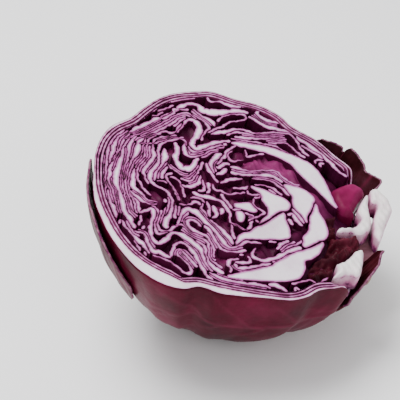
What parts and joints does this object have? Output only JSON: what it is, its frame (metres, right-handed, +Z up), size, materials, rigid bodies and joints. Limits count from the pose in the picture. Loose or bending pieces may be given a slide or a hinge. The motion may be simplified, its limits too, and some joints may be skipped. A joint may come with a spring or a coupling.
{
  "type": "halved red cabbage head",
  "caption": "Half of a red cabbage head lying cut face up, with folded leaves packed round white midribs and ragged leaf stalks at the stalk end.",
  "frame": {"origin": "middle of the bottom of the box round the half, on the surface that it lies on", "axes": "+Z up, +X towards the stalk end, +Y away from the side that the cut face leans to"},
  "size_m": [0.1676, 0.1644, 0.0992],
  "materials": {
    "outer_leaf_skin": "waxy leaf skin, wine red with a grey lilac bloom",
    "cut_leaf": "moist cut leaf, white to lilac with dark purple skins",
    "midrib": "moist white midrib flesh",
    "inner_leaf_skin": "smooth magenta leaf skin",
    "stalk_flesh": "dry fibrous cream stalk"
  },
  "bodies": {
    "root": {"outer_leaf": "outer_leaf_skin", "wrapper_leaf_1": "cut_leaf", "wrapper_leaf_2": "cut_leaf", "packed_leaves": "cut_leaf", "stalk": "stalk_flesh", "inner_leaf_stalk": "midrib", "outer_leaf_stalk": "midrib", "lower_leaf_stalk": "midrib", "cupped_leaf": "inner_leaf_skin", "ruffled_leaf": "inner_leaf_skin", "loose_outer_leaf": "outer_leaf_skin", "torn_leaf_back": "outer_leaf_skin", "torn_leaf_front": "outer_leaf_skin"}
  },
  "joints": []
}
